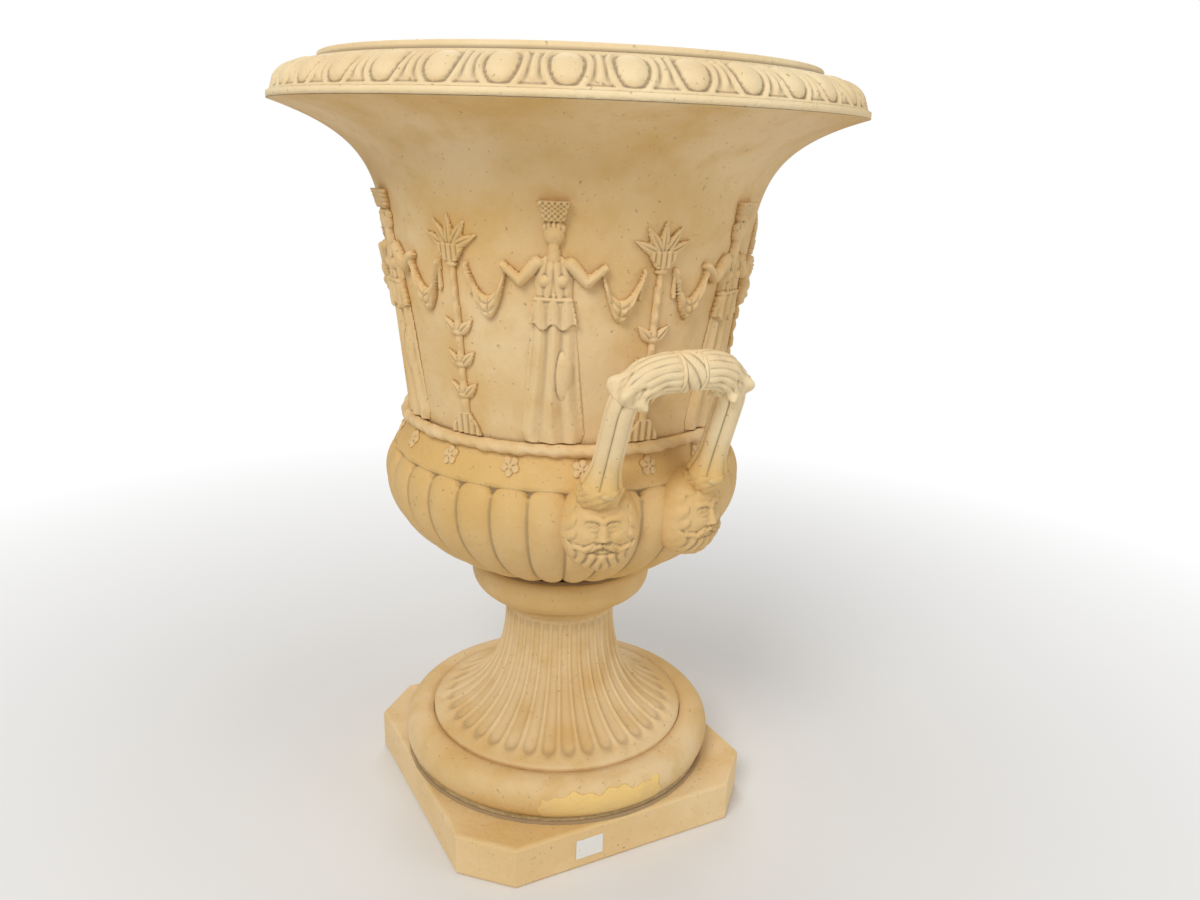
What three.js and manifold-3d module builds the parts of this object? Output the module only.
// Campana vase in cream terracotta: an eight-sided plinth, a fluted foot, a gadrooned bowl and a bell
// with applied reliefs, under an egg-and-dart rim, with two looped handles that rise from bearded masks.
// Millimetres, +Z up. The origin is on the ground, on the axis of the vase. The handles are at +X and -X.
import * as THREE from "three";
import { mergeVertices } from "three/addons/utils/BufferGeometryUtils.js";
import Module from "manifold-3d";

// Clearance between two pieces that touch
const joint = 0.3;

// Plinth: a square slab with its corners cut off
const plinthSide = 326;
const plinthCut = 45;
const plinthHeight = 44;
const plinthArris = 3;

// Mortar bed between the plinth and the foot
const bedHeight = 2.4;
const bedSpread = 2.5;
const bedWidth = 34;

// Fluted foot: a hollow drum that sweeps up into a stem
const footRadius = 134.6;
const footDrumHeight = 41.4;
const footHeight = 165;
const footWall = 13;
const footSweepRise = 20;
const footSweepReach = 55;
const stemRadius = 57;
const stemStraight = 72;
const fluteCount = 36;
const fluteDepth = 4.2;
const fluteShare = 0.88;
const spigotRadius = 40;
const spigotHeight = 8;

// Base torus round the drum of the foot, and the filled patch in it
const torusWidth = 30;
const torusHeight = 40;
const patchDepth = 4;
const patchAzimuth = -8;
const patchHalfWidth = 68;

// Collar on top of the stem
const collarHeight = 50;
const collarRadius = 93;
const collarFootRadius = 62;
const collarLipRadius = 86;
const astragalHeight = 9;
const astragalBulge = 3.5;
const cupRadius = 79;
const cupDepth = 13;
const cupFloorRadius = 55;
const collarBore = 30;

// Mortar between the collar and the bowl
const mortarThickness = 7;
const mortarSpread = 6;

// Gadrooned bowl and the shoulder above it
const bowlRadius = 178.3;
const bowlDepth = 109;
const bowlFloorRadius = 50;
const bowlWall = 15;
const bellyRise = 26.7;
const bellyTuck = 8.5;
const shoulderHeight = 32.5;
const shoulderTuck = 16.8;
const gadroonCount = 32;
const gadroonDepth = 5;
const gadroonPhase = -2.5;

// Bell
const bellHeight = 282;
const bellSetback = 3;
const bellWall = 13;
const bellSlope = 0.3;
const bellFlarePower = 10.5;
const bellInnerSlope = 0.41;
const bellInnerPower = 5.2;

// Ledge that the reliefs stand on, round the joint of bowl and bell
const ledgeWidth = 9;
const ledgeHeight = 11;

// Rim: a fillet, an egg-and-dart ovolo and an upright lip
const rimRadius = 270;
const filletHeight = 5.6;
const filletStep = 2.6;
const ovoloHeight = 27.5;
const rimWidth = 43.6;
const lipHeight = 6.4;
const lipWidth = 12.4;
const eggCount = 36;
const eggPhase = 2.9;
const eggDepth = 3.2;
const eggCrest = 0.8;
const dartDepth = 0.5;

// Handles: two stems and a cross bar, leaning outwards
const handleSpread = 53;
const handleBend = 33.5;
const handleRise = 103;
const handleStandoff = 40.7;
const handleLean = 0.37;
const handleRadius = 12.5;
const handleFootRadius = 19;
const handleFootHeight = 26;
const bindingWidth = 24;
const bindingThickness = 5;
const leafLength = 46;
const leafThickness = 3.4;

// Masks at the foot of the handles
const maskAzimuth = 15.5;
const maskTurn = 4.5;
const maskHeight = 82;
const maskWidth = 74;
const maskDepth = 29;
const maskRise = 11.8;
const maskCapRadius = 21;

// Rosettes on the shoulder
const rosetteCount = 16;
const rosettePhase = 2;
const rosetteRadius = 9;
const rosetteRelief = 4;
const rosetteGap = 0.8;
const petalCount = 5;

// Reliefs on the bell
const reliefCount = 6;
const bearerPhase = 30;
const robeRelief = 6;
const bodyRelief = 10;
const bearerHeight = 210;
const candelabrumRelief = 6;
const candelabrumHeight = 200;
const leafSpan = 20;
const leafBreadth = 9;

// Blank paper label on the plinth
const labelWidth = 29;
const labelHeight = 21;
const labelThickness = 0.5;
const labelOffset = -42;

// Facets round a full turn
const roundFacets = 40;
const smallFacets = 24;
const archSteps = 16;

// Levels, each worked out from what lies below it
const bedBase = plinthHeight + joint;
const footBase = bedBase + bedHeight + joint;
const stemTop = footBase + footHeight;
const collarBase = stemTop + joint;
const collarTop = collarBase + collarHeight;
const bowlBase = collarTop - cupDepth + mortarThickness + 2 * joint;
const bowlFloorDrop = bowlDepth * Math.sqrt(1 - (bowlFloorRadius / bowlRadius) ** 2);
const bellyLevel = bowlBase + bowlFloorDrop;
const bellyTop = bellyLevel + bellyRise;
const bowlTop = bellyTop + shoulderHeight;
const bellBase = bowlTop + joint;
const bellTop = bellBase + bellHeight;
const rimBase = bellTop + joint;
const lipBase = rimBase + filletHeight + ovoloHeight;
const lipTop = lipBase + lipHeight;
const ledgeBase = bowlTop - ledgeHeight / 2;
const ledgeTop = ledgeBase + ledgeHeight;
const reliefBase = ledgeTop + joint;
const maskTop = bellyTop + maskRise;
const handleTop = maskTop + handleRise;

// Radii worked out from others
const bellyTopRadius = bowlRadius - bellyTuck;
const shoulderTopRadius = bellyTopRadius - shoulderTuck;
const bellBaseRadius = shoulderTopRadius - bellSetback;
const lipRadius = rimRadius - rimWidth;
const handleReach = bowlRadius + handleStandoff;
const cutterSize = 2 * handleReach;

const wasm = await Module();
wasm.setup();

const clays = {
  cream: { color: 0xe6cfa0, roughness: 0.72, metalness: 0 },
  pale: { color: 0xefdfba, roughness: 0.7, metalness: 0 },
  ochre: { color: 0xd9b26e, roughness: 0.75, metalness: 0 },
  mortar: { color: 0xb89560, roughness: 0.95, metalness: 0 },
  filler: { color: 0xe3c57f, roughness: 0.5, metalness: 0 },
  paper: { color: 0xf1eee8, roughness: 0.85, metalness: 0 },
};

const vase = new THREE.Group();

function addPiece(name, geometry, clay) {
  const mesh = new THREE.Mesh(geometry, new THREE.MeshStandardMaterial(clays[clay]));
  mesh.name = name;
  vase.add(mesh);
  return mesh;
}

// A geometry as a solid for joining and cutting, turned to face outwards.
function toSolid(geometry) {
  const bare = geometry.index ? geometry.toNonIndexed() : geometry.clone();
  bare.deleteAttribute("normal");
  bare.deleteAttribute("uv");
  const merged = mergeVertices(bare, 1e-3);
  const build = (indices) =>
    new wasm.Manifold(
      new wasm.Mesh({
        numProp: 3,
        vertProperties: Float32Array.from(merged.attributes.position.array),
        triVerts: indices,
      }),
    );
  const indices = Uint32Array.from(merged.index.array);
  const solid = build(indices);
  return solid.volume() < 0 ? build(indices.reverse()) : solid;
}

function toGeometry(solid) {
  const mesh = solid.getMesh();
  const count = mesh.vertProperties.length / mesh.numProp;
  const position = new Float32Array(count * 3);
  for (let i = 0; i < count; i++) {
    for (let axis = 0; axis < 3; axis++) {
      position[3 * i + axis] = mesh.vertProperties[mesh.numProp * i + axis];
    }
  }
  const geometry = new THREE.BufferGeometry();
  geometry.setAttribute("position", new THREE.BufferAttribute(position, 3));
  geometry.setIndex(new THREE.BufferAttribute(Uint32Array.from(mesh.triVerts), 1));
  geometry.computeVertexNormals();
  return geometry;
}

const joined = (solids) => solids.reduce((sum, next) => sum.add(next));

// Turns a closed profile of [radius, height] points about the Z axis.
// reshape(radius, height, azimuth in degrees) may give each vertex another radius.
function revolve(profile, facets, phase = 0, reshape = null) {
  const outline = [...profile, profile[0]].map(([r, z]) => new THREE.Vector2(r, z));
  const geometry = new THREE.LatheGeometry(outline, facets);
  geometry.rotateX(Math.PI / 2);
  geometry.rotateZ(Math.PI / 2 + THREE.MathUtils.degToRad(phase));
  if (reshape) {
    const position = geometry.attributes.position;
    for (let i = 0; i < position.count; i++) {
      const x = position.getX(i);
      const y = position.getY(i);
      const radius = Math.hypot(x, y);
      const azimuth = THREE.MathUtils.radToDeg(Math.atan2(y, x));
      const scale = reshape(radius, position.getZ(i), azimuth) / radius;
      position.setXY(i, x * scale, y * scale);
    }
  }
  return toSolid(geometry);
}

// Points of a curve from start to end, evenly spread, with step(share) giving [radius, height].
function trace(steps, step) {
  return Array.from({ length: steps + 1 }, (unused, i) => step(i / steps));
}

// Radius of the corners of a round hole whose facets stay a clearance away from what it holds
const aroundRadius = (radius, facets) => (radius + joint) / Math.cos(Math.PI / facets);

// Place across one of count equal ribs, from 0 on its middle line to 1 halfway to the next
function ribPlace(azimuth, count, phase) {
  const turn = ((azimuth - phase) * count) / 360;
  return 2 * Math.abs(turn - Math.round(turn));
}

// True where an azimuth falls on the groove between two of count equal ribs.
function onGroove(azimuth, count, phase) {
  const turn = ((azimuth - phase) * count) / 360;
  return Math.abs(turn - Math.round(turn)) < 0.1;
}

function plinth() {
  const half = plinthSide / 2 - plinthArris;
  const corner = half - plinthCut + plinthArris;
  const outline = new THREE.Shape();
  outline.moveTo(-corner, -half);
  outline.lineTo(corner, -half);
  outline.lineTo(half, -corner);
  outline.lineTo(half, corner);
  outline.lineTo(corner, half);
  outline.lineTo(-corner, half);
  outline.lineTo(-half, corner);
  outline.lineTo(-half, -corner);
  outline.closePath();
  return new THREE.ExtrudeGeometry(outline, {
    depth: plinthHeight - 2 * plinthArris,
    bevelSize: plinthArris,
    bevelThickness: plinthArris,
    bevelSegments: 2,
  }).translate(0, 0, plinthArris);
}

const torusInner = aroundRadius(footRadius, roundFacets);
const torusOuter = torusInner + torusWidth;
const torusContact = torusOuter - 5;

function footMortar() {
  const outer = torusContact + bedSpread;
  const inner = outer - bedWidth - torusWidth / 2;
  const profile = [
    [inner, bedBase],
    [outer, bedBase],
    [outer - bedSpread / 2, bedBase + bedHeight],
    [inner, bedBase + bedHeight],
  ];
  return toGeometry(revolve(profile, roundFacets));
}

// Section of the base torus, shrunk by inset on its rounded sides.
function torusProfile(inset) {
  const inner = torusInner - (inset ? 5 : 0);
  const centre = torusInner + torusWidth * 0.36;
  const middle = footBase + torusHeight / 2;
  const reach = torusOuter - centre - inset;
  const half = torusHeight / 2 - inset;
  const lowest = Math.asin((torusHeight / 2 - 1) / (torusHeight / 2));
  const round = trace(5, (share) => {
    const angle = -lowest + share * (lowest + Math.PI / 2);
    return [
      centre + reach * Math.cos(angle) ** 0.8,
      middle + half * Math.sign(Math.sin(angle)) * Math.abs(Math.sin(angle)),
    ];
  });
  round[round.length - 1][0] = centre;
  return [
    [inner, footBase + inset],
    [torusContact - inset, footBase + inset],
    ...round.slice(1),
    [inner, footBase + torusHeight * 0.95 - inset],
  ];
}

// Irregular outline of the filled patch, seen from outside, as a prism that runs through the torus.
function patchPrism(grow) {
  const w = patchHalfWidth + grow;
  const low = footBase + patchDepth + 1.5 - grow;
  const high = torusHeight - patchDepth - 1.5 + 2 * grow;
  const outline = new THREE.Shape();
  outline.moveTo(-0.55 * w, low);
  outline.lineTo(0.82 * w, low);
  outline.lineTo(w, low + 0.35 * high);
  outline.lineTo(0.97 * w, low + 0.72 * high);
  outline.lineTo(0.8 * w, low + 0.88 * high);
  outline.lineTo(0.35 * w, low + 0.9 * high);
  outline.lineTo(-0.1 * w, low + 0.84 * high);
  outline.lineTo(-0.62 * w, low + 0.8 * high);
  outline.lineTo(-w, low + 0.55 * high);
  outline.closePath();
  return prismAt(outline, patchAzimuth, torusInner - 30, torusWidth + 60);
}

// An outline drawn to the right and up, as seen from outside, made a prism that points outwards.
function prismAt(outline, azimuth, from, depth) {
  const geometry = new THREE.ExtrudeGeometry(outline, {
    depth,
    bevelEnabled: false,
    curveSegments: 2,
  });
  const outwards = new THREE.Matrix4().makeBasis(
    new THREE.Vector3(0, 1, 0),
    new THREE.Vector3(0, 0, 1),
    new THREE.Vector3(1, 0, 0),
  );
  geometry.applyMatrix4(outwards);
  geometry.translate(from, 0, 0);
  geometry.rotateZ(THREE.MathUtils.degToRad(azimuth));
  return toSolid(geometry);
}

function baseTorus() {
  const whole = revolve(torusProfile(0), roundFacets);
  const core = revolve(torusProfile(patchDepth), roundFacets);
  const coreBelowGap = revolve(torusProfile(patchDepth + joint), roundFacets);
  return {
    patch: toGeometry(whole.intersect(patchPrism(0)).subtract(core)),
    ring: toGeometry(whole.subtract(patchPrism(joint).subtract(coreBelowGap))),
  };
}

// Outer outline of the foot from the tips of the flutes up to the stem, inset sideways.
function footSweep(steps, inset) {
  const sweep = new THREE.CubicBezierCurve(
    new THREE.Vector2(footRadius - inset, footBase + footDrumHeight),
    new THREE.Vector2(footRadius - footSweepReach - inset, footBase + footDrumHeight + footSweepRise),
    new THREE.Vector2(stemRadius - inset, stemTop - stemStraight),
    new THREE.Vector2(stemRadius - inset, stemTop),
  );
  return sweep.getPoints(steps).map((p) => [p.x, p.y]);
}

function flutedFoot() {
  const inner = footSweep(3, footWall).reverse();
  const inside = inner.map(([r, z]) => [r, z < stemTop - 1 ? z - footWall / 2 : z - footWall]);
  const profile = [
    [footRadius, footBase],
    ...footSweep(5, 0),
    [spigotRadius, stemTop],
    [spigotRadius, stemTop + spigotHeight],
    [spigotRadius - footWall / 2, stemTop + spigotHeight],
    ...inside.slice(1),
    [footRadius - footWall, footBase],
  ];
  const tips = footBase + footDrumHeight + 1;
  const flute = (radius, z, azimuth) => {
    const outside = radius > stemRadius - 1 && z > tips && z < stemTop + 1;
    const outer = outside && footSweep(24, 0).some(([r, h]) => Math.abs(h - z) < 6 && Math.abs(r - radius) < 6);
    const across = ribPlace(azimuth, fluteCount, 0) / fluteShare;
    return outer ? radius - fluteDepth * Math.sqrt(Math.max(0, 1 - across ** 2)) : radius;
  };
  return toGeometry(revolve(profile, 4 * fluteCount, 0, flute));
}

// Inside of the cup from its lip down to the bore, lifted by rise
function cupLine(rise) {
  return [
    [cupRadius, collarTop + rise],
    [(cupRadius + cupFloorRadius) / 2 + 4, collarTop - cupDepth * 0.6 + rise],
    [cupFloorRadius, collarTop - cupDepth + rise],
    [collarBore, collarTop - cupDepth + rise],
  ];
}

function stemCollar() {
  const waist = collarBase + astragalHeight;
  const collarSocket = aroundRadius(spigotRadius, smallFacets);
  const swell = trace(4, (share) => {
    const angle = (share * Math.PI) / 2;
    return [
      collarFootRadius + 2 + (collarRadius - collarFootRadius - 2) * Math.sin(angle),
      waist + 1 + (collarHeight * 0.7 - astragalHeight) * (1 - Math.cos(angle)),
    ];
  });
  const profile = [
    [collarSocket, collarBase],
    [collarFootRadius, collarBase],
    [collarFootRadius + astragalBulge * 0.8, collarBase + astragalHeight * 0.25],
    [collarFootRadius + astragalBulge, collarBase + astragalHeight * 0.5],
    [collarFootRadius + astragalBulge * 0.8, collarBase + astragalHeight * 0.8],
    [collarFootRadius, waist],
    ...swell,
    [collarRadius - 1, collarTop - collarHeight * 0.14],
    [(collarRadius + collarLipRadius) / 2, collarTop - collarHeight * 0.04],
    [collarLipRadius, collarTop],
    ...cupLine(0),
    [collarBore, collarBase + spigotHeight + joint],
    [collarSocket, collarBase + spigotHeight + joint],
  ];
  return toGeometry(revolve(profile, smallFacets));
}

// Radius of the bowl below its widest level
function bellyRadius(z) {
  return bowlRadius * Math.sqrt(Math.max(0, 1 - ((bellyLevel - z) / bowlDepth) ** 2));
}

// Level of the bowl's underside at a radius
function bellyHeight(radius) {
  return bellyLevel - bowlDepth * Math.sqrt(1 - (radius / bowlRadius) ** 2);
}

function shoulderRadius(z) {
  const share = (bowlTop - z) / shoulderHeight;
  return shoulderTopRadius + (bellyTopRadius - shoulderTopRadius) * share ** 1.6;
}

function bowlOuter(grow) {
  const lower = trace(4, (share) => {
    const z = bowlBase + (bellyLevel - bowlBase) * (1 - (1 - share) ** 1.7);
    return [bellyRadius(z) + grow, z - grow * (1 - share)];
  });
  lower[0] = [bowlFloorRadius + grow, bowlBase - grow];
  const upper = [0.4, 0.75, 1].map((share) => {
    const radius = bowlRadius - (bowlRadius - bellyTopRadius) * share ** 2;
    return [radius + grow, bellyLevel + bellyRise * share];
  });
  const shoulder = [0.25, 0.5, 0.75, 1].map((share) => {
    const z = bellyTop + shoulderHeight * share;
    return [shoulderRadius(z) + grow, z];
  });
  shoulder.unshift([shoulderRadius(bellyTop) - 1.6 + grow, bellyTop + 2.5]);
  return [...lower, ...upper, ...shoulder];
}

function carveGadroons(radius, z, azimuth) {
  const outside = z < bellyTop + 1 && z > bowlBase + 3 && radius > bellyRadius(Math.min(z, bellyLevel)) - 4;
  return outside && onGroove(azimuth, gadroonCount, gadroonPhase) ? radius - gadroonDepth : radius;
}

function bowlSolid() {
  const inside = trace(4, (share) => {
    const angle = (share * Math.PI) / 2;
    return [
      Math.max((bowlRadius - bowlWall) * Math.cos(angle), 0.5),
      bellyLevel - (bowlDepth - bowlWall) * Math.sin(angle),
    ];
  });
  const profile = [
    [0, bowlBase],
    ...bowlOuter(0),
    [bellBaseRadius - bellWall, bowlTop],
    ...inside.slice(0, -1),
    [0, bellyLevel - bowlDepth + bowlWall],
  ];
  return revolve(profile, 2 * gadroonCount, gadroonPhase, carveGadroonsOutside);
}

// The inner face stays round, and so does the axis.
function carveGadroonsOutside(radius, z, azimuth) {
  if (radius < 1) return radius || 1;
  const inner = (bowlRadius - bowlWall) * Math.sqrt(Math.max(0, 1 - ((bellyLevel - z) / (bowlDepth - bowlWall)) ** 2));
  const onInner = z > bellyLevel - bowlDepth + bowlWall - 1 && Math.abs(radius - inner) < 2 && z <= bellyLevel + 1;
  return onInner ? radius : carveGadroons(radius, z, azimuth);
}

// Everything that the skin of the bowl keeps clear of the pieces set against it
function bowlClearance() {
  const profile = [[0.5, bowlBase - joint], ...bowlOuter(joint), [0.5, bowlTop]];
  return revolve(profile, 2 * gadroonCount, gadroonPhase, carveGadroons);
}

function bowlMortar() {
  const edge = collarLipRadius + mortarSpread / 3;
  const under = (radius) => bellyHeight(radius) - joint - 0.6;
  const profile = [
    [collarBore + joint, collarTop - cupDepth + joint],
    [cupFloorRadius - joint, collarTop - cupDepth + joint],
    [(cupRadius + cupFloorRadius) / 2 + 4 - joint, collarTop - cupDepth * 0.6 + joint],
    [cupRadius - joint, collarTop + joint],
    [edge, collarTop + joint],
    [edge + 1, collarTop + joint + 1],
    [edge - 2, under(edge - 2)],
    [(edge + bowlFloorRadius) / 2, under((edge + bowlFloorRadius) / 2) - gadroonDepth * 0.4],
    [bowlFloorRadius + 2, bowlBase - joint],
    [collarBore + joint, bowlBase - joint],
  ];
  return toGeometry(revolve(profile, smallFacets).subtract(bowlClearance()));
}

// Radius of the outside of the bell at a level
function bellRadius(z) {
  const share = Math.min(Math.max((z - bellBase) / bellHeight, 0), 1);
  const flare = bellSlope * share + (1 - bellSlope) * share ** bellFlarePower;
  return bellBaseRadius + (rimRadius - bellBaseRadius) * flare;
}

function bellInnerRadius(z) {
  const share = (z - bellBase) / bellHeight;
  const flare = bellInnerSlope * share + (1 - bellInnerSlope) * share ** bellInnerPower;
  const narrow = bellBaseRadius - bellWall;
  return narrow + (lipRadius - lipWidth - narrow) * flare;
}

const bellShares = [0, 0.3, 0.6, 0.78, 0.87, 0.92, 0.96, 1];
const bellInnerShares = [1, 0.9, 0.75, 0.4, 0];

// Radius of the bell's own facets at a level, between the levels that bell() places
function bellFace(z) {
  const share = (z - bellBase) / bellHeight;
  const next = Math.max(1, bellShares.findIndex((level) => level >= share));
  const [low, high] = [bellShares[next - 1], bellShares[next]].map((level) => bellBase + bellHeight * level);
  const mix = (z - low) / (high - low);
  return bellRadius(low) + (bellRadius(high) - bellRadius(low)) * mix;
}

function bell() {
  const outside = bellShares.map((share) => bellBase + bellHeight * share).map((z) => [bellRadius(z), z]);
  const inside = bellInnerShares.map((share) => bellBase + bellHeight * share).map((z) => [bellInnerRadius(z), z]);
  return toGeometry(revolve([...outside, ...inside], roundFacets));
}

function groundLedge() {
  const inner = aroundRadius(Math.max(shoulderRadius(ledgeBase), bellRadius(ledgeTop)), roundFacets);
  const outer = shoulderTopRadius + ledgeWidth;
  const profile = [
    [inner, ledgeBase],
    [outer - 3, ledgeBase],
    [outer, ledgeBase + ledgeHeight * 0.3],
    [outer - 1, ledgeBase + ledgeHeight * 0.7],
    [outer - 4, ledgeTop],
    [inner, ledgeTop],
  ];
  return toGeometry(revolve(profile, roundFacets));
}

function rim() {
  const ovoloRadius = rimRadius - filletStep;
  const fillet = rimBase + filletHeight;
  const ovolo = trace(4, (share) => {
    const angle = (share * Math.PI) / 2;
    return [
      lipRadius + (ovoloRadius - lipRadius) * Math.cos(angle),
      fillet + ovoloHeight * Math.sin(angle),
    ];
  });
  const profile = [
    [lipRadius - lipWidth, rimBase],
    [rimRadius, rimBase],
    [rimRadius, fillet],
    ...ovolo,
    [lipRadius, lipTop - 1.5],
    [lipRadius - 1.5, lipTop],
    [lipRadius - lipWidth, lipTop],
  ];
  const carve = (radius, z, azimuth) => {
    const carved = z > fillet + 2 && z < lipBase - 0.5 && radius > lipRadius + 1;
    const across = ribPlace(azimuth, eggCount, eggPhase);
    if (!carved) return radius;
    if (across < 0.25) return radius + eggCrest;
    return across < 0.75 ? radius - eggDepth : radius - dartDepth;
  };
  return toGeometry(revolve(profile, 4 * eggCount, eggPhase, carve));
}

// Centre line of a handle at +X, from the foot of one stem over the bar to the other
class HandleLine extends THREE.Curve {
  constructor(from = 0, to = 1) {
    super();
    this.from = from;
    this.to = to;
  }
  getPoint(share, target = new THREE.Vector3()) {
    const rise = (handleTop - handleBend - maskTop) * Math.hypot(1, handleLean);
    const quarter = (handleBend * Math.PI) / 2;
    const bar = handleSpread - handleBend;
    const half = rise + quarter + bar;
    const along = (this.from + (this.to - this.from) * share - 0.5) * 2 * half;
    const side = Math.sign(along) || 1;
    const run = Math.abs(along);
    let y = run;
    let z = handleTop;
    if (run > bar + quarter) {
      y = handleSpread;
      z = handleTop - handleBend - (run - bar - quarter) / Math.hypot(1, handleLean);
    } else if (run > bar) {
      const angle = (run - bar) / handleBend;
      y = bar + handleBend * Math.sin(angle);
      z = handleTop - handleBend * (1 - Math.cos(angle));
    }
    return target.set(handleReach - handleLean * (handleTop - z), side * y, z);
  }
}

const handleHalfLength =
  (handleTop - handleBend - maskTop) * Math.hypot(1, handleLean) +
  (handleBend * Math.PI) / 2 +
  handleSpread -
  handleBend;

// A rod round part of the handle's centre line, between two distances from its middle
function handleRod(from, to, radius, steps) {
  const share = (distance) => 0.5 + distance / (2 * handleHalfLength);
  const circle = new THREE.Shape();
  circle.absarc(0, 0, radius, 0, 2 * Math.PI);
  const geometry = new THREE.ExtrudeGeometry(circle, {
    steps,
    curveSegments: 4,
    bevelEnabled: false,
    extrudePath: new HandleLine(share(from), share(to)),
  });
  return toSolid(geometry);
}

const archRod = (grow) => handleRod(-handleHalfLength, handleHalfLength, handleRadius + grow, archSteps);

// A sleeve of a given thickness on the handle
function handleSleeve(from, to, thickness, steps) {
  const outside = handleRod(from, to, handleRadius + joint + thickness, steps);
  return outside.subtract(archRod(joint));
}

function handle(side) {
  const arch = archRod(0);
  const feet = [-1, 1].map((end) => {
    const at = new HandleLine().getPoint(end < 0 ? 0 : 1);
    const flare = new THREE.CylinderGeometry(handleRadius - 1, handleFootRadius, handleFootHeight, 12);
    flare.rotateX(Math.PI / 2);
    const lean = new THREE.Matrix4().makeShear(0, 0, 0, 0, handleLean, 0);
    flare.translate(0, 0, handleFootHeight / 2);
    flare.applyMatrix4(lean);
    return toSolid(flare.translate(at.x, at.y, maskTop));
  });
  const above = new THREE.BoxGeometry(cutterSize, cutterSize, cutterSize)
    .translate(cutterSize / 2, 0, maskTop + joint + cutterSize / 2);
  const whole = joined([arch, ...feet]).intersect(toSolid(above));
  return turned(whole, side);
}

function turned(solid, side) {
  const geometry = toGeometry(solid);
  return side > 0 ? geometry : geometry.rotateZ(Math.PI);
}

// A bearded mask with the place of the handle's foot on its crown, set against the bowl
function mask(side, end, clearance) {
  const half = maskHeight / 2;
  const middle = maskTop - half;
  const lump = (out, across, up, sizeOut, sizeAcross, sizeUp, columns = 8, rows = 6) => {
    const geometry = new THREE.SphereGeometry(1, columns, rows);
    geometry.rotateX(Math.PI / 2);
    geometry.scale(sizeOut, sizeAcross, sizeUp);
    return geometry.translate(out, across, middle + up);
  };
  const face = [
    lump(-4, 0, -2, maskDepth, maskWidth / 2, half, 10, 7),
    lump(maskDepth - 8, 0, -4, 8, 5, 11, 6, 4),
    lump(maskDepth - 13, 0, 12, 9, maskWidth * 0.36, 7, 8, 4),
    lump(maskDepth - 14, 0, -17, 10, maskWidth * 0.32, 6, 8, 4),
  ];
  const base = bellyRadius(bellyLevel) - 4;
  const azimuth = THREE.MathUtils.degToRad(maskAzimuth * end);
  const place = (geometry) => {
    geometry.rotateZ(azimuth + THREE.MathUtils.degToRad(maskTurn * end));
    return geometry.translate(base * Math.cos(azimuth), base * Math.sin(azimuth), 0);
  };
  const foot = new HandleLine().getPoint(end < 0 ? 0 : 1);
  const cap = new THREE.CylinderGeometry(maskCapRadius, maskCapRadius + 4, 26, 14);
  cap.rotateX(Math.PI / 2);
  cap.translate(foot.x - 1, foot.y, maskTop - 13);
  const below = new THREE.BoxGeometry(cutterSize, cutterSize, cutterSize)
    .translate(cutterSize / 2, 0, maskTop - cutterSize / 2);
  const head = joined([...face.map((lumpShape) => toSolid(place(lumpShape))), toSolid(cap)]);
  return turned(head.intersect(toSolid(below)).subtract(clearance), side);
}

function addHandle(label, side, clearance) {
  addPiece(`${label}_handle`, handle(side), "pale");
  const band = bindingWidth / 2;
  const binding = handleSleeve(-band, band, bindingThickness, 2);
  addPiece(`${label}_handle_binding`, turned(binding, side), "pale");
  for (const [place, end] of [["near", -1], ["far", 1]]) {
    const start = band + joint;
    const ends = [end * start, end * (start + leafLength)].sort((a, b) => a - b);
    const leaf = handleSleeve(...ends, leafThickness, 6);
    addPiece(`${label}_handle_leaf_${place}`, turned(leaf, side), "pale");
    addPiece(`${label}_handle_mask_${place}`, mask(side, end, clearance), "ochre");
  }
}

function rosette(azimuth, clearance) {
  const level = ledgeBase - rosetteGap - rosetteRadius;
  const radius = shoulderRadius(level);
  const outline = new THREE.Shape();
  const points = trace(2 * petalCount, (share) => {
    const angle = share * 2 * Math.PI;
    const reach = rosetteRadius * (0.82 + 0.18 * Math.cos(petalCount * angle));
    return [reach * Math.sin(angle), level + reach * Math.cos(angle)];
  });
  outline.moveTo(...points[0]);
  points.slice(1, -1).forEach((point) => outline.lineTo(...point));
  outline.closePath();
  const block = prismAt(outline, azimuth, radius - 12, 12 + rosetteRelief);
  return toGeometry(block.subtract(clearance));
}

// The space over the bell that a relief of a given depth fills
function reliefShell(depth, height) {
  const top = reliefBase + height;
  const between = bellShares.map((share) => bellBase + bellHeight * share);
  const levels = [reliefBase, ...between.filter((z) => z > reliefBase && z < top), top];
  const outside = levels.map((z) => [bellFace(z) + depth, z]);
  const inside = levels.map((z) => [bellFace(z) + joint, z]).reverse();
  return revolve([...outside, ...inside], roundFacets);
}

// A limb or a body drawn as two circles and what lies between them: [x1, y1, x2, y2, r1, r2]
function limbShape([x1, y1, x2, y2, r1, r2]) {
  const direction = Math.atan2(y2 - y1, x2 - x1);
  const opening = Math.acos((r1 - r2) / Math.hypot(x2 - x1, y2 - y1));
  const shape = new THREE.Shape();
  shape.absarc(x1, y1, r1, direction + opening, direction - opening + 2 * Math.PI, false);
  shape.absarc(x2, y2, r2, direction - opening, direction + opening, false);
  shape.closePath();
  return shape;
}

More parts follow.
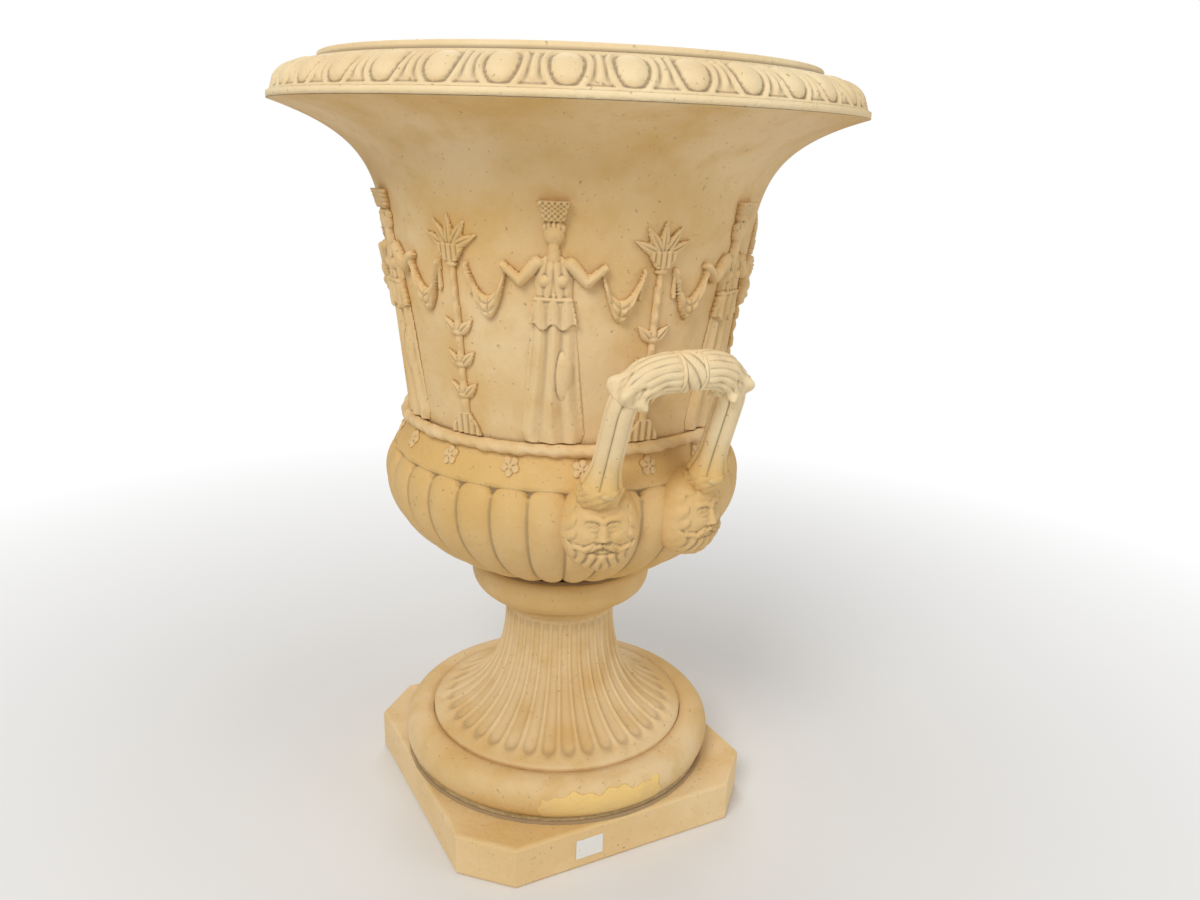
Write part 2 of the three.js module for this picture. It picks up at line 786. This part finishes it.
// A draped bearer with a basket on the head, drawn to the right and up from the ledge
const bearerRobe = [
  [-14, 122],
  [-21, 96],
  [-24, 56],
  [-30, 9],
  [-25, 0],
  [25, 0],
  [30, 9],
  [24, 56],
  [21, 96],
  [14, 122],
];
const bearerOverfold = [
  [-15, 163],
  [-19, 156],
  [-16, 136],
  [-20, 112],
  [-13, 104],
  [13, 104],
  [20, 112],
  [16, 136],
  [19, 156],
  [15, 163],
];
const bearerNeck = [
  [-5, 160],
  [5, 160],
  [5, 176],
  [-5, 176],
];
const bearerHead = [
  [-6, 170],
  [6, 170],
  [10, 178],
  [9, 188],
  [-9, 188],
  [-10, 178],
];
const bearerBasket = [
  [-8, 187],
  [8, 187],
  [12, 207],
  [-12, 207],
];
const bearerArm = [
  [11, 162],
  [12, 149],
  [25, 135],
  [31, 139],
  [43, 149],
  [38, 157],
  [27, 148],
  [19, 160],
];
// Half of a garland, from the bearer's hand down and up again to the candelabrum
const garland = [
  [37, 154],
  [37, 132],
  [45, 117],
  [57, 111],
  [68, 119],
  [73, 138],
  [72, 152],
  [67, 152],
  [63, 135],
  [56, 127],
  [48, 131],
  [43, 142],
  [43, 154],
];

function polygonShape(points) {
  const shape = new THREE.Shape();
  shape.moveTo(...points[0]);
  points.slice(1).forEach((point) => shape.lineTo(...point));
  shape.closePath();
  return shape;
}

const mirrored = (points) => points.map(([x, y]) => [-x, y]).reverse();

const bearerScale = bearerHeight / 210;
const candelabrumScale = candelabrumHeight / 200;

function bearer(azimuth) {
  const prism = (points) => {
    const raised = points.map(([x, y]) => [x * bearerScale, (y - 1) * bearerScale + reliefBase]);
    return prismAt(polygonShape(raised), azimuth, bellBaseRadius * 0.66, bellBaseRadius * 0.74);
  };
  const middle = [bearerOverfold, bearerNeck, bearerHead, bearerBasket];
  const sides = [bearerArm, garland];
  const high = joined([...middle, ...sides, ...sides.map(mirrored)].map(prism));
  const body = high.intersect(reliefShell(bodyRelief, bearerHeight));
  return toGeometry(prism(bearerRobe).intersect(reliefShell(robeRelief, bearerHeight)).add(body));
}

function leafShape(x, y, angle, span = leafSpan) {
  const along = new THREE.Vector2(Math.cos(angle), Math.sin(angle));
  const across = new THREE.Vector2(-along.y, along.x).multiplyScalar(leafBreadth / 2);
  const start = new THREE.Vector2(x, y);
  const middle = start.clone().addScaledVector(along, span * 0.45);
  const tip = start.clone().addScaledVector(along, span);
  return polygonShape([
    [start.x, start.y],
    [middle.x - across.x, middle.y - across.y],
    [tip.x, tip.y],
    [middle.x + across.x, middle.y + across.y],
  ]);
}

// A candelabrum: a foot, a stem with leaves, a cup and a palmette
function candelabrum(azimuth) {
  const k = candelabrumScale;
  const level = (y) => reliefBase + k * y;
  const foot = [
    [-18, -1],
    [18, -1],
    [13, 10],
    [6, 19],
    [-6, 19],
    [-13, 10],
  ];
  const cup = [
    [-6, 152],
    [6, 152],
    [15, 167],
    [-15, 167],
  ];
  const shapes = [foot, cup].map((points) => polygonShape(points.map(([x, y]) => [k * x, level(y)])));
  shapes.push(limbShape([0, level(15), 0, level(156), 5 * k, 3 * k]));
  for (const y of [34, 62, 90]) {
    shapes.push(leafShape(k, level(y), 0.8), leafShape(-k, level(y), Math.PI - 0.8));
  }
  for (const angle of [0.45, 1.0, Math.PI / 2, Math.PI - 1.0, Math.PI - 0.45]) {
    shapes.push(leafShape(0, level(164), angle, leafSpan * 1.5));
  }
  const prisms = shapes.map((shape) => prismAt(shape, azimuth, bellBaseRadius * 0.66, bellBaseRadius * 0.74));
  return toGeometry(joined(prisms).intersect(reliefShell(candelabrumRelief, candelabrumHeight)));
}

function paperLabel() {
  const sheet = new THREE.BoxGeometry(labelThickness, labelWidth, labelHeight);
  return sheet.translate(plinthSide / 2 + joint + labelThickness / 2, labelOffset, plinthHeight / 2);
}

const clearance = bowlClearance();
const torus = baseTorus();

addPiece("plinth", plinth(), "cream");
addPiece("foot_mortar", footMortar(), "mortar");
addPiece("fluted_foot", flutedFoot(), "cream");
addPiece("base_torus", torus.ring, "cream");
addPiece("torus_repair", torus.patch, "filler");
addPiece("stem_collar", stemCollar(), "ochre");
addPiece("bowl_mortar", bowlMortar(), "mortar");
addPiece("gadrooned_bowl", toGeometry(bowlSolid()), "ochre");
addPiece("bell", bell(), "cream");
addPiece("ground_ledge", groundLedge(), "cream");
addPiece("egg_and_dart_rim", rim(), "pale");
addHandle("right", 1, clearance);
addHandle("left", -1, clearance);
for (let i = 0; i < rosetteCount; i++) {
  const azimuth = rosettePhase + (i * 360) / rosetteCount;
  addPiece(`rosette_${String(i + 1).padStart(2, "0")}`, rosette(azimuth, clearance), "cream");
}
for (let i = 0; i < reliefCount; i++) {
  const azimuth = bearerPhase + (i * 360) / reliefCount;
  addPiece(`relief_bearer_${i + 1}`, bearer(azimuth), "cream");
  addPiece(`relief_candelabrum_${i + 1}`, candelabrum(azimuth - 180 / reliefCount), "cream");
}
addPiece("paper_label", paperLabel(), "paper");

export default vase;
